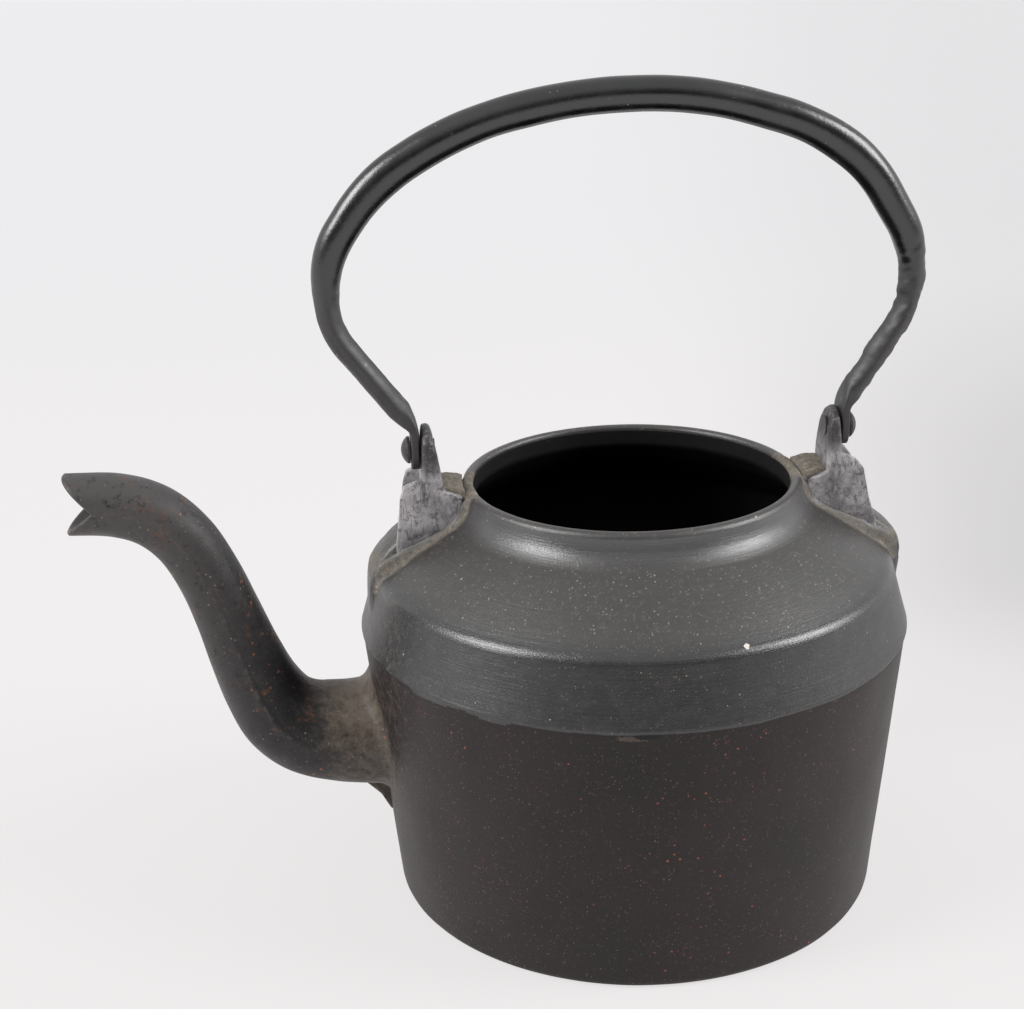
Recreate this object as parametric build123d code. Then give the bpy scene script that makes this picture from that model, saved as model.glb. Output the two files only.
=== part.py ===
from build123d import *
import math
import os

# Cast iron kettle: a turned-looking body with a spout cast on one side, two folded ears set
# in bosses beside the mouth, and a rolled bail handle that swings on a rivet in each ear.
# Millimetres. Origin: centre of the flat base. +Z up, the spout points to -X, the bail's
# pivots lie on a line along X. The lid is not part of this object.

# ---- driving dimensions: body ----
BASE_R = 101.0          # flat the kettle stands on
BASE_EDGE = 3.0         # rounding between the flat and the wall
WALL_TOP_R = 115.0      # wall just under the band's lower edge
SEAM_Z = 118.5
BAND_STEP = 0.6         # the band stands this proud of the wall
CREASE_R = 108.6
CREASE_Z = 145.2
CREASE_ROUND = 5.0
NECK_R = 77.0           # foot of the concave neck, where the shoulder cone ends
NECK_Z = 167.0
MOUTH_R = 66.0
RIM_Z = 180.6
RIM_WIDTH = 4.8
SHELL = 4.0             # wall thickness
RIM_BEVEL = 1.4
MOUTH_BORE = 7.6        # straight part of the mouth that a lid's flange enters

# ---- driving dimensions: ears and the bosses that hold them ----
EAR_HALF_WIDTH = 11.0
EAR_PLATE = 2.6
EAR_FACE_X = 87.3       # outer face of the upright web, towards the handle's tab
WEB_TOP_THICK = 5.0
WEB_FOOT_THICK = 7.2
WEB_TAPER_Z = 190.0     # the web thickens below this
WEB_FOOT_Z = 171.0
PIVOT_Z = 197.0
PLATFORM_Z = 181.0      # flat top of each boss, level with the rim
BOSS_HALF_WIDTH = 13.6
CHEEK = [(73.0, 180.4), (80.4, 181.0), (81.4, 187.0), (88.5, 187.4), (95.4, 184.6),
         (100.4, 157.6), (72.6, 176.0)]

# ---- driving dimensions: bail handle ----
GRIP_R = 6.9
LEG_R = 5.0
TUBE_WALL = 1.8
JOIN_RUN = 4.0          # length of the taper between leg and grip
TAB_GAP = 0.3
TAB_THICK = 3.8
TAB_R = 7.0
FOOT_X = 93.2
FOOT_Z = 206.0
TAB_TOP_Z = 211.0
# corners of the bent tube, spout side first, each with its bend radius
SPOUT_LEG = [(-FOOT_X, FOOT_Z), (-FOOT_X, 211.5), (-121.7, 249.5), (-121.7, 264.5)]
GRIP = [(-121.7, 264.5), (-121.7, 278.1), (-102.2, 306.0), (-65.7, 327.5), (-20.1, 336.7),
        (27.2, 336.7), (72.9, 322.5), (95.2, 306.0), (116.2, 272.7), (116.2, 262.0)]
REAR_LEG = [(FOOT_X, FOOT_Z), (FOOT_X, 211.5), (116.2, 247.0), (116.2, 262.0)]
LEG_BENDS = [8.0, 30.0]
GRIP_BENDS = [41.0, 73.0, 137.0, 200.0, 159.0, 90.0, 64.0, 34.0]

# ---- driving dimensions: rivets ----
SHANK_R = 3.0
EYE_CLEARANCE = 0.05
HEAD_R = 5.6
HEAD_HEIGHT = 3.6
HEAD_EDGE = 1.0         # upright rim of the head below its dome
PEEN_R = 4.2
PEEN_HEIGHT = 0.8

# ---- driving dimensions: spout, as stations (x, z, outer radius) along its centre line ----
SPOUT_STATIONS = [(-100.0, 71.0, 24.5), (-113.0, 71.0, 23.5), (-127.0, 71.8, 22.2),
                  (-141.0, 75.0, 20.8), (-151.5, 82.5, 19.2), (-159.0, 95.0, 17.0),
                  (-165.0, 111.0, 15.3), (-170.7, 129.2, 14.0), (-177.0, 147.0, 13.4),
                  (-185.5, 163.5, 13.2), (-197.0, 175.0, 13.2), (-212.0, 180.8, 13.2),
                  (-233.0, 182.4, 12.8)]
SPOUT_WALL = 3.2
NOTCH_APEX_X = -222.5
NOTCH_HALF_HEIGHT = 8.6
SPOUT_LIP_LEAN = 2.0


def turned(outline):
    """A solid of revolution about Z from a closed outline of edges in the XZ plane."""
    return revolve(make_face(outline), axis=Axis.Z, revolution_arc=360)


def at_y(points, y=0.0):
    """Points (x, z) as 3-D points in the plane of this y."""
    return [(x, y, z) for x, z in points]


def plate(points, y_low, y_high):
    """A flat plate: this outline in XZ, from y_low to y_high."""
    outline = make_face(Polyline(*at_y(points, y_low), close=True))
    return extrude(outline, amount=y_high - y_low, dir=(0, 1, 0))


def mirrored_x(points):
    return [(-x, z) for x, z in points]


def offset_in(a, b, distance):
    """The line from a to b moved to its left by this distance, as two points."""
    dx = b[0] - a[0]
    dz = b[1] - a[1]
    length = math.hypot(dx, dz)
    shift = (-dz / length * distance, dx / length * distance)
    return (a[0] + shift[0], a[1] + shift[1]), (b[0] + shift[0], b[1] + shift[1])


# ---- body ----
WALL_FOOT = (BASE_R + BASE_EDGE, BASE_EDGE)
WALL_HEAD = (WALL_TOP_R, SEAM_Z)
RIM_R = MOUTH_R + RIM_WIDTH


def outer_body():
    """The body as if it were solid iron up to the rim."""
    crease = (CREASE_R, CREASE_Z)
    neck = (NECK_R, NECK_Z)
    rim_side = (RIM_R, RIM_Z - RIM_WIDTH / 2)
    rim_top = (MOUTH_R + RIM_WIDTH / 2, RIM_Z)
    edges = [
        Polyline((0, 0, RIM_Z - RIM_WIDTH / 2), (0, 0, 0), (BASE_R, 0, 0)),
        ThreePointArc(*at_y([(BASE_R, 0), (BASE_R + BASE_EDGE * 0.72, BASE_EDGE * 0.28), WALL_FOOT])),
        Polyline(*at_y([WALL_FOOT, WALL_HEAD, (WALL_TOP_R + BAND_STEP, SEAM_Z + BAND_STEP), crease,
                        neck])),
        ThreePointArc(*at_y([neck, (RIM_R + 1.9, RIM_Z - 8.0), rim_side])),
        ThreePointArc(*at_y([rim_side, (RIM_R - 0.7, RIM_Z - 0.7), rim_top])),
        Polyline(*at_y([rim_top, (MOUTH_R - 1.0, RIM_Z), (0, RIM_Z)])),
        Line((0, 0, RIM_Z), (0, 0, RIM_Z - RIM_WIDTH / 2)),
    ]
    solid = turned(edges)
    corner = [e for e in solid.edges() if abs(e.center().Z - CREASE_Z) < 0.1 and e.length > 300]
    return fillet(corner, CREASE_ROUND)


def cavity():
    """The space inside the shell, open at the mouth."""
    foot, head = offset_in(WALL_FOOT, WALL_HEAD, SHELL)
    shoulder = (CREASE_R - SHELL * 0.9, CREASE_Z - SHELL * 0.8)
    neck = (NECK_R - SHELL * 0.5, NECK_Z - SHELL)
    bore_high = (MOUTH_R, RIM_Z - RIM_BEVEL)
    bore_low = (MOUTH_R, bore_high[1] - MOUTH_BORE)
    above = RIM_Z + 9.0
    edges = Polyline(
        (0, 0, SHELL), (foot[0] - 6.0, 0, SHELL), (foot[0], 0, SHELL + 6.0), (head[0], 0, head[1]),
        (shoulder[0], 0, shoulder[1]), (neck[0], 0, neck[1]), (bore_low[0], 0, bore_low[1]),
        (bore_high[0], 0, bore_high[1]), (MOUTH_R + RIM_BEVEL, 0, RIM_Z + 0.01),
        (MOUTH_R + RIM_BEVEL, 0, above), (0, 0, above), close=True)
    return turned(edges)


def boss(side):
    """The lump of iron under one ear: a core between the ear's cheeks and a wider skirt."""
    inner_width = EAR_HALF_WIDTH - EAR_PLATE
    core = [(MOUTH_R + 1.5, PLATFORM_Z), (EAR_FACE_X - 2.0, PLATFORM_Z), (EAR_FACE_X - 2.0, 172.5),
            (96.5, 169.6), (104.0, 161.0), (109.0, 151.0), (112.0, 140.0), (85.0, 140.0),
            (MOUTH_R + 1.5, 165.0)]
    skirt = [(MOUTH_R + 1.5, 178.6), (73.0, 175.6), (100.6, 157.0), (106.4, 152.8), (110.2, 146.5),
             (112.0, 136.0), (85.0, 140.0), (MOUTH_R + 1.5, 165.0)]
    platform = [(MOUTH_R + 1.5, PLATFORM_Z), (81.0, PLATFORM_Z), (80.0, 170.0), (MOUTH_R + 1.5, 170.0)]
    turn = (lambda p: p) if side > 0 else mirrored_x
    return (plate(turn(core), -inner_width, inner_width)
            + plate(turn(skirt), -BOSS_HALF_WIDTH, BOSS_HALF_WIDTH)
            + plate(turn(platform), -EAR_HALF_WIDTH, EAR_HALF_WIDTH))


def pivot_rod(radius, x_low, x_high):
    """A rod along X on the pivots' line."""
    length = x_high - x_low
    return Plane((x_low, 0, PIVOT_Z), x_dir=(0, 1, 0), z_dir=(1, 0, 0)) * Cylinder(
        radius, length, align=(Align.CENTER, Align.CENTER, Align.MIN))


def ear(side):
    """One folded ear: an upright web that ends in a round finger, and two cheeks."""
    turn = (lambda p: p) if side > 0 else mirrored_x
    top_z = PIVOT_Z + EAR_HALF_WIDTH + 1
    web = plate(turn([(EAR_FACE_X - WEB_TOP_THICK, top_z), (EAR_FACE_X, top_z),
                      (EAR_FACE_X, WEB_FOOT_Z), (EAR_FACE_X - WEB_FOOT_THICK, WEB_FOOT_Z),
                      (EAR_FACE_X - WEB_FOOT_THICK, PLATFORM_Z),
                      (EAR_FACE_X - WEB_TOP_THICK, WEB_TAPER_Z)]), -EAR_HALF_WIDTH, EAR_HALF_WIDTH)
    span = sorted((side * (EAR_FACE_X - 12), side * (EAR_FACE_X + 3)))
    rounding = pivot_rod(EAR_HALF_WIDTH, *span)
    below = Pos(side * EAR_FACE_X, 0, PIVOT_Z - 40) * Box(40, 2 * EAR_HALF_WIDTH, 80)
    web = web & (rounding + below)
    cheeks = plate(turn(CHEEK), -EAR_HALF_WIDTH, -EAR_HALF_WIDTH + EAR_PLATE)
    cheeks += plate(turn(CHEEK), EAR_HALF_WIDTH - EAR_PLATE, EAR_HALF_WIDTH)
    solid = web + cheeks
    return solid - pivot_rod(SHANK_R, *span)


# ---- rivets ----
def rivet(side):
    """A rivet: domed head outside the handle's tab, shank, and the peened end on the web."""
    tab_face = EAR_FACE_X + 2 * TAB_GAP + TAB_THICK
    web_inner = EAR_FACE_X - WEB_TOP_THICK
    head_base = tab_face + HEAD_EDGE
    rise = HEAD_HEIGHT - HEAD_EDGE
    dome_r = (HEAD_R ** 2 + rise ** 2) / (2 * rise)
    half = math.asin(HEAD_R / dome_r) / 2
    dome_middle = (dome_r * math.sin(half), head_base + rise - dome_r * (1 - math.cos(half)))
    outline = [
        Polyline(*at_y([(0, head_base + rise), (0, web_inner - PEEN_HEIGHT),
                        (PEEN_R, web_inner - PEEN_HEIGHT), (PEEN_R, web_inner),
                        (SHANK_R, web_inner), (SHANK_R, tab_face), (HEAD_R, tab_face),
                        (HEAD_R, head_base)])),
        ThreePointArc(*at_y([(HEAD_R, head_base), dome_middle, (0, head_base + rise)])),
    ]
    return Plane((0, 0, PIVOT_Z), x_dir=(0, 1, 0), z_dir=(side, 0, 0)) * turned(outline)


# ---- bail handle ----
def tube(points, bends, radius):
    """A round bar along this bent path."""
    path = FilletPolyline(*at_y(points), radius=bends)
    start = path @ 0
    section = Plane(start, z_dir=path % 0) * Circle(radius)
    return sweep(section, path=path)


def extended(points, amount):
    """The same path, its first run lengthened backwards."""
    (x0, z0), (x1, z1) = points[0], points[1]
    length = math.hypot(x1 - x0, z1 - z0)
    return [(x0 - (x1 - x0) / length * amount, z0 - (z1 - z0) / length * amount)] + points[1:]


def handle():
    """The bail: a rolled tube, narrower in its legs, with a flat tab at each foot."""
    solid = tube(GRIP, GRIP_BENDS, GRIP_R)
    hollow = tube(GRIP, GRIP_BENDS, GRIP_R - TUBE_WALL)
    for leg in (SPOUT_LEG, REAR_LEG):
        side = 1 if leg[0][0] > 0 else -1
        top_x, top_z = leg[-1]
        shorter = leg[:-1] + [(top_x, top_z - JOIN_RUN)]
        solid += tube(shorter, LEG_BENDS, LEG_R)
        hollow += tube(extended(shorter, 2.0), LEG_BENDS, LEG_R - TUBE_WALL)
        taper_at = Pos(top_x, 0, top_z - JOIN_RUN / 2)
        solid += taper_at * Cone(LEG_R, GRIP_R, JOIN_RUN)
        hollow += taper_at * Cone(LEG_R - TUBE_WALL, GRIP_R - TUBE_WALL, JOIN_RUN)
        tab_x = EAR_FACE_X + TAB_GAP
        span = sorted((side * tab_x, side * (tab_x + TAB_THICK)))
        middle = (span[0] + span[1]) / 2
        height = TAB_TOP_Z - PIVOT_Z
        solid += pivot_rod(TAB_R, *span)
        solid += Pos(middle, 0, PIVOT_Z + height / 2) * Box(TAB_THICK, 2 * TAB_R, height)
    solid -= hollow
    for side in (-1, 1):
        eye = sorted((side * (EAR_FACE_X - 2), side * (EAR_FACE_X + TAB_THICK + 2)))
        solid -= pivot_rod(SHANK_R + EYE_CLEARANCE, *eye)
    return solid


# ---- spout ----
def along_spout(shrink, first_step=0.0, last_step=0.0):
    """A swan-neck horn through the stations, each radius less by shrink."""
    count = len(SPOUT_STATIONS)
    sections = []
    for i, (x, z, radius) in enumerate(SPOUT_STATIONS):
        x_before, z_before, _ = SPOUT_STATIONS[max(i - 1, 0)]
        x_after, z_after, _ = SPOUT_STATIONS[min(i + 1, count - 1)]
        length = math.hypot(x_after - x_before, z_after - z_before)
        ux = (x_after - x_before) / length
        uz = (z_after - z_before) / length
        step = -first_step if i == 0 else last_step if i == count - 1 else 0.0
        centre = (x + ux * step, 0, z + uz * step)
        sections.append(Plane(centre, x_dir=(0, 1, 0), z_dir=(ux, 0, uz)) * Circle(radius - shrink))
    return loft(sections)


def spout(body_solid):
    """The spout's shell, trimmed to the body's wall, with a fish-tail cut in its end."""
    tip_x, tip_z, _ = SPOUT_STATIONS[-1]
    horn = along_spout(0.0) - body_solid
    # a web under the root, where the spout's mould met the body
    gusset = plate([(-100.0, 52.0), (-125.0, 52.0), (-112.0, 42.0), (-104.0, 33.0), (-100.0, 33.0)], -4.0, 4.0)
    horn += gusset - body_solid
    horn -= along_spout(SPOUT_WALL, 4.0, 4.0)
    notch = plate([(NOTCH_APEX_X, tip_z), (tip_x - 2, tip_z + NOTCH_HALF_HEIGHT),
                   (tip_x - 2, tip_z - NOTCH_HALF_HEIGHT)], -30.0, 30.0)
    upper_lip = plate([(tip_x - 3, tip_z + 20), (tip_x + SPOUT_LIP_LEAN, tip_z + 20), (tip_x - 1, tip_z),
                       (tip_x - 3, tip_z)], -30.0, 30.0)
    return horn - notch - upper_lip


def main():
    os.makedirs("parts", exist_ok=True)
    solid_body = outer_body()
    ears = {"spout_side_ear": ear(-1), "rear_ear": ear(1)}
    shell = solid_body + boss(-1) + boss(1)
    shell -= cavity()
    for piece in ears.values():
        shell -= piece
    shell -= along_spout(SPOUT_WALL, 12.0, 0.0)
    nodes = {"kettle_body": shell, "spout": spout(solid_body), "handle": handle(),
             "spout_side_rivet": rivet(-1), "rear_rivet": rivet(1)}
    nodes.update(ears)
    for name, piece in nodes.items():
        export_step(piece, f"parts/{name}.step")
        print(name, len(piece.solids()), round(piece.volume), piece.bounding_box())


main()
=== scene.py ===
"""Cast iron kettle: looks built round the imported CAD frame. Lengths in the geometry functions are in
millimetres in the CAD frame (origin at the base's centre, spout to -X, pivots along X) and are turned
into metres when a mesh is made."""
import math

import bmesh
import bpy
import numpy as np
from mathutils import Matrix, Vector, noise


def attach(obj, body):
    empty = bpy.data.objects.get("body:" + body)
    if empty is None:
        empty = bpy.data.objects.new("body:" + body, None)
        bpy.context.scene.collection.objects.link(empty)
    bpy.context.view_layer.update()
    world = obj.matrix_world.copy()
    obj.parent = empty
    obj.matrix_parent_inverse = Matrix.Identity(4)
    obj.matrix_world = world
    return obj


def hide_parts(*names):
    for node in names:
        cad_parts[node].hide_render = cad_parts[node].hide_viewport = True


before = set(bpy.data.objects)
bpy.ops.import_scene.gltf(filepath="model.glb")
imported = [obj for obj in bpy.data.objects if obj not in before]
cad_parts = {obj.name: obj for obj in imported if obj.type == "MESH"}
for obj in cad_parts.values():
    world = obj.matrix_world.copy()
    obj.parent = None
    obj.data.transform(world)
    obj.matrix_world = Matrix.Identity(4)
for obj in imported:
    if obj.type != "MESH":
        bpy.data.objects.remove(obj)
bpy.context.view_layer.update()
MM = 0.001

# ---- body, from the CAD model ----
BASE_R = 101.0
BASE_EDGE = 3.0
WALL_TOP_R = 115.0
SEAM_Z = 118.5
JOIN_Z = 130.0          # where the bosses run out on the band
SEAM_WAVE = 0.45
SEAM_CHATTER = 0.22
BAND_STEP = 0.6
CREASE_R = 108.6
CREASE_Z = 145.2
NECK_R = 77.0
NECK_Z = 167.0
MOUTH_R = 66.0
RIM_Z = 180.6
RIM_WIDTH = 4.8
RIM_R = MOUTH_R + RIM_WIDTH
RIM_DROP = 2.6           # height of the rim's outer rounding
MOUTH_FOOT_Z = 171.6    # lower end of the mouth's straight part
SHELL = 4.0
SPOUT_ROOT_Z = 71.0
SPOUT_BORE_R = 19.6

# ---- ears and pivots, from the CAD model ----
EAR_FACE_X = 87.3
PIVOT_Z = 197.0
SHANK_R = 3.05
PIVOT_THICK = 5.0        # the finger's thickness at the rivet, before its foot is added
FINGER_EDGE = 1.6
CHEEK_Y = (8.2, 11.5)    # inner and outer face of each cheek
EAR_VOXEL = 0.5


# ======================================================================================
# helpers
# ======================================================================================
def smooth(low, high, value):
    """0 below low, 1 above high, an S-curve between. Works on arrays."""
    t = np.clip((np.asarray(value, float) - low) / (high - low), 0.0, 1.0)
    return t * t * (3 - 2 * t)


def wander(x, y, z, size, seed=0.0):
    """Smooth noise from about -1 to 1, with features of this size in millimetres."""
    return noise.noise(Vector((x / size + seed, y / size - seed, z / size + 2 * seed)))


def shade_smooth(mesh):
    mesh.polygons.foreach_set("use_smooth", [True] * len(mesh.polygons))


def make_object(name, points, faces):
    """A smooth-shaded mesh object from points in millimetres."""
    mesh = bpy.data.meshes.new(name)
    mesh.from_pydata([tuple(np.asarray(p) * MM) for p in points], [], faces)
    mesh.update()
    obj = bpy.data.objects.new(name, mesh)
    bpy.context.scene.collection.objects.link(obj)
    clean = bmesh.new()
    clean.from_mesh(mesh)
    bmesh.ops.recalc_face_normals(clean, faces=clean.faces)
    clean.to_mesh(mesh)
    clean.free()
    shade_smooth(mesh)
    return obj


def grid_object(name, rows, closed_ends=True):
    """A tube of quads from rings of equally many points, with a point at the middle of each end."""
    rings = [np.asarray(r, float) for r in rows]
    count = len(rings[0])
    points = np.concatenate(rings)
    faces = []
    for i in range(len(rings) - 1):
        for j in range(count):
            k = (j + 1) % count
            faces.append((i * count + j, i * count + k, (i + 1) * count + k, (i + 1) * count + j))
    points = [tuple(p) for p in points]
    if closed_ends:
        for ring_index, order in ((0, 1), (len(rings) - 1, -1)):
            centre = len(points)
            points.append(tuple(rings[ring_index].mean(axis=0)))
            start = ring_index * count
            for j in range(count):
                k = (j + 1) % count
                faces.append((centre, start + k, start + j)[::order])
    return make_object(name, points, faces)


def apply_modifier(obj, kind, **settings):
    """Adds a modifier, applies it at once and leaves the result in the mesh."""
    modifier = obj.modifiers.new(kind.lower(), kind)
    for key, value in settings.items():
        setattr(modifier, key, value)
    evaluated = obj.evaluated_get(bpy.context.evaluated_depsgraph_get())
    mesh = bpy.data.meshes.new_from_object(evaluated)
    obj.modifiers.clear()
    obj.data = mesh


def cut(obj, tool):
    """Takes the tool's volume out of obj, and removes the tool."""
    bpy.context.view_layer.update()
    apply_modifier(obj, "BOOLEAN", operation="DIFFERENCE", object=tool, solver="EXACT")
    bpy.data.objects.remove(tool)


def rod(name, start, end, radius, count=48):
    """A plain round rod between two points, used as a cutting tool."""
    start, end = np.asarray(start, float), np.asarray(end, float)
    along = (end - start) / np.linalg.norm(end - start)
    side = np.cross(along, (0.0, 1.0, 0.0) if abs(along[1]) < 0.9 else (1.0, 0.0, 0.0))
    side /= np.linalg.norm(side)
    up = np.cross(along, side)
    turn = np.linspace(0, 2 * math.pi, count, endpoint=False)
    ring = radius * (np.outer(np.cos(turn), side) + np.outer(np.sin(turn), up))
    return grid_object(name, [start + ring, end + ring])


def sampled(points, counts):
    """Points along a chain of straight runs, with this many steps in each run."""
    out = []
    for (a, b), n in zip(zip(points[:-1], points[1:]), counts):
        for i in range(n):
            t = i / n
            out.append((a[0] + (b[0] - a[0]) * t, a[1] + (b[1] - a[1]) * t))
    out.append(points[-1])
    return out


def lengths(points):
    """Distance along a chain of points at each of them, from its first two columns."""
    return np.concatenate([[0], np.cumsum(np.linalg.norm(np.diff(points[:, :2], axis=0), axis=1))])


def spaced(points, count):
    """The chain again as count evenly spaced points."""
    length = lengths(points)
    wanted = np.linspace(0, length[-1], count)
    return np.column_stack([np.interp(wanted, length, column) for column in points.T])


def directions(points):
    """Unit vectors along a chain of points."""
    along = np.gradient(points, axis=0)
    return along / np.linalg.norm(along, axis=1)[:, None]


def through(points, count):
    """A smooth curve through the points (Catmull-Rom), with count points evenly spaced on it."""
    p = np.asarray(points, float)
    p = np.vstack([2 * p[0] - p[1], p, 2 * p[-1] - p[-2]])
    fine = []
    for i in range(1, len(p) - 2):
        t = np.linspace(0, 1, 40, endpoint=False)[:, None]
        fine.append(0.5 * (2 * p[i] + (p[i + 1] - p[i - 1]) * t
                           + (2 * p[i - 1] - 5 * p[i] + 4 * p[i + 1] - p[i + 2]) * t ** 2
                           + (3 * p[i] - p[i - 1] - 3 * p[i + 1] + p[i + 2]) * t ** 3))
    return spaced(np.vstack(fine + [p[-2:-1]]), count)


def rounded_path(corners, bends, step):
    """A chain of straight runs with an arc at each inner corner, as points about step apart."""
    out = [np.asarray(corners[0], float)]
    for i, radius in enumerate(bends, start=1):
        before, here, after = (np.asarray(corners[k], float) for k in (i - 1, i, i + 1))
        u = (before - here) / np.linalg.norm(before - here)
        v = (after - here) / np.linalg.norm(after - here)
        half = math.acos(float(np.clip(u @ v, -1, 1))) / 2
        reach = radius / math.tan(half)
        middle = (u + v) / np.linalg.norm(u + v)
        centre = here + middle * radius / math.sin(half)
        start, end = here + u * reach, here + v * reach
        turn = math.pi - 2 * half
        n = max(4, int(turn * radius / step))
        a, b = start - centre, end - centre
        for k in range(n + 1):
            t = k / n
            out.append(centre + (a * math.sin((1 - t) * turn) + b * math.sin(t * turn)) / math.sin(turn))
    out.append(np.asarray(corners[-1], float))
    points = np.array(out)
    return spaced(points, int(lengths(points)[-1] / step) + 1)


# ======================================================================================
# body
# ======================================================================================
def wall_radius(z):
    """Outer radius of the tapering wall at this height."""
    return BASE_R + BASE_EDGE + (z - BASE_EDGE) / (SEAM_Z - BASE_EDGE) * (WALL_TOP_R - BASE_R - BASE_EDGE)


def arc_points(a, b, bulge, count):
    """An arc from a to b that stands off its chord by bulge (left of a to b), without its last point."""
    a, b = np.asarray(a, float), np.asarray(b, float)
    chord = b - a
    left = np.array([-chord[1], chord[0]]) / np.linalg.norm(chord)
    t = np.arange(count) / count
    return [tuple(a + chord * k + left * bulge * 4 * k * (1 - k)) for k in t]


def band_radius(z):
    """Outer radius of the band between the seam and the crease."""
    share = (z - SEAM_Z) / (CREASE_Z - SEAM_Z)
    return WALL_TOP_R + BAND_STEP + (CREASE_R - WALL_TOP_R - BAND_STEP) * share


JOIN = (band_radius(JOIN_Z), JOIN_Z)


def lower_outline():
    """The outside from the base's centre up to the seam, as (radius, z)."""
    foot = (BASE_R + BASE_EDGE, BASE_EDGE)
    points = sampled([(4.0, 0.0), (60.0, 0.0), (BASE_R, 0.0)], [6, 8])[:-1]
    points += arc_points((BASE_R, 0.0), foot, -BASE_EDGE * 0.28, 6)
    points += sampled([foot, (wall_radius(SEAM_Z - 1.6), SEAM_Z - 1.6)], [60])
    return points


def seam_outline():
    """The step at the band's lower edge, and the band up to where the bosses end."""
    top = WALL_TOP_R + BAND_STEP
    points = [(WALL_TOP_R - 0.15, SEAM_Z - 0.9), (WALL_TOP_R - 0.1, SEAM_Z - 0.35), (WALL_TOP_R + 0.25, SEAM_Z),
              (top - 0.08, SEAM_Z + 0.35)]
    return points + sampled([(top, SEAM_Z + 0.9), JOIN], [14])[:-1]


def shoulder_outline():
    """Shoulder in three stretches, from the band up over the crease and the cone to the rim."""
    reach = 2.8
    crease_low = (band_radius(CREASE_Z - reach), CREASE_Z - reach)
    crease_high = (CREASE_R - reach * 0.82, CREASE_Z + reach * 0.57)
    low = sampled([JOIN, crease_low], [14])[:-1] + arc_points(crease_low, crease_high, -0.55, 10)
    cone = arc_points(crease_high, (NECK_R, NECK_Z), -0.5, 36)
    neck = arc_points((NECK_R, NECK_Z), (RIM_R, RIM_Z - RIM_DROP), 1.35, 20)
    return low, cone, neck


def boss_outlines(count, bulge):
    """The boss's core (between the ear's cheeks) and its skirt, cut into count points.
    bulge pushes the outer corner of the core outwards."""
    rim = (RIM_R - 0.2, RIM_Z + 0.3)
    core = [JOIN, (112.2 + bulge * 0.8, 140.0), (111.4 + bulge, 146.5), (108.9 + bulge, 151.6),
            (104.6 + bulge * 0.2, 157.4), (99.2 - bulge * 0.5, 162.8), (94.0 - bulge * 0.5, 167.4),
            (87.5, 172.6), (84.5, 179.8), (81.5, 182.4), (76.0, 182.6), rim]
    skirt = [JOIN, (111.3 + bulge * 0.6, 141.0), (110.4 + bulge * 0.6, 147.0), (107.6 + bulge * 0.5, 151.6),
             (101.5, 155.4), (96.5, 158.5), (88.6, 162.2), (81.5, 165.9), (76.8, 169.6), (73.9, 174.6),
             (RIM_R + 0.7, 178.3), (RIM_R, RIM_Z - 2.0)]
    return through(core, count), through(skirt, count)


def rim_outline():
    """Over the rim and down the straight part of the mouth."""
    outer = (RIM_R, RIM_Z - RIM_DROP)
    top = (MOUTH_R + RIM_WIDTH * 0.45, RIM_Z + 0.1)
    inner = (MOUTH_R, RIM_Z - 2.2)
    return arc_points(outer, top, -0.75, 6) + arc_points(top, inner, -0.75, 6) + sampled(
        [inner, (MOUTH_R, MOUTH_FOOT_Z)], [5])[:-1]


def inner_outline():
    """The inside, from under the mouth down to the middle of the floor."""
    return sampled([(MOUTH_R, MOUTH_FOOT_Z), (NECK_R - 2.0, NECK_Z - SHELL), (CREASE_R - 3.6, CREASE_Z - 3.2),
                    (wall_radius(SEAM_Z) - SHELL, SEAM_Z), (wall_radius(10.0) - SHELL, 10.0),
                    (wall_radius(SHELL) - 10.0, SHELL), (3.0, SHELL)], [4, 12, 8, 24, 3, 12])


def body_angles():
    """Angles round the body: even, and close together where the bosses are."""
    angles = list(np.radians(np.arange(0, 360, 1.0)))
    for centre in (0.0, math.pi):
        near = np.radians(np.arange(-13.0, 13.01, 0.2))
        angles = [a for a in angles if abs((a - centre + math.pi) % (2 * math.pi) - math.pi) > near[-1] + 0.004]
        angles += list((near + centre) % (2 * math.pi))
    return np.array(sorted(angles))


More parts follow.
